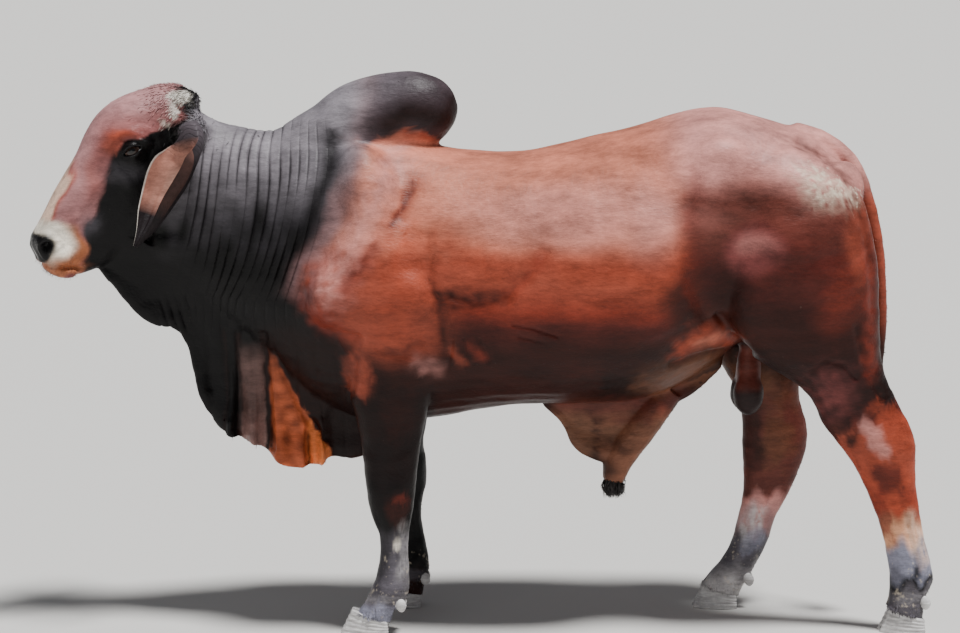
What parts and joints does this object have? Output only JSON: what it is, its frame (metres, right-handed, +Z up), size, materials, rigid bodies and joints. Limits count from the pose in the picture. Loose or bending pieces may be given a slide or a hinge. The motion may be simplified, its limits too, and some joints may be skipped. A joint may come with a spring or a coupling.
{
  "type": "brahman bull",
  "caption": "Life-size standing Brahman bull with hump, dewlap, hanging ears and sheath, its head turned a little to its left, as a still museum model",
  "frame": {"origin": "on the ground, under the middle of the whole animal", "axes": "+Z up, -X the way the bull faces, -Y towards its left side"},
  "size_m": [2.4307, 0.6598, 1.5089],
  "materials": {
    "red_coat": "short glossy red-brown coat",
    "dark_coat": "short near-black coat over loose folded skin",
    "head_coat": "short maroon coat with a cream muzzle and dark cheeks",
    "pale_skin": "thin tan skin with sparse hair",
    "horn": "weathered grey horn",
    "eye": "wet dark eye",
    "long_hair": "long coarse dark hair in locks"
  },
  "bodies": {
    "root": {"torso": "red_coat", "neck": "dark_coat", "head": "head_coat", "hump": "dark_coat", "dewlap": "dark_coat", "sheath": "pale_skin", "sheath_tuft": "long_hair", "scrotum": "dark_coat", "ear_left": "head_coat", "ear_right": "head_coat", "eye_left": "eye", "eye_right": "eye", "horn_bud_left": "horn", "horn_bud_right": "horn", "tail_upper": "red_coat", "tail_lower": "red_coat", "tail_switch": "long_hair", "fore_left_upper": "dark_coat", "fore_left_lower": "dark_coat", "fore_right_upper": "dark_coat", "fore_right_lower": "dark_coat", "hind_left_upper": "red_coat", "hind_left_lower": "red_coat", "hind_right_upper": "red_coat", "hind_right_lower": "red_coat", "hoof_fore_left_outer": "horn", "dewclaw_fore_left_outer": "horn", "hoof_fore_left_inner": "horn", "dewclaw_fore_left_inner": "horn", "hoof_fore_right_outer": "horn", "dewclaw_fore_right_outer": "horn", "hoof_fore_right_inner": "horn", "dewclaw_fore_right_inner": "horn", "hoof_hind_left_outer": "horn", "dewclaw_hind_left_outer": "horn", "hoof_hind_left_inner": "horn", "dewclaw_hind_left_inner": "horn", "hoof_hind_right_outer": "horn", "dewclaw_hind_right_outer": "horn", "hoof_hind_right_inner": "horn", "dewclaw_hind_right_inner": "horn"}
  },
  "joints": []
}
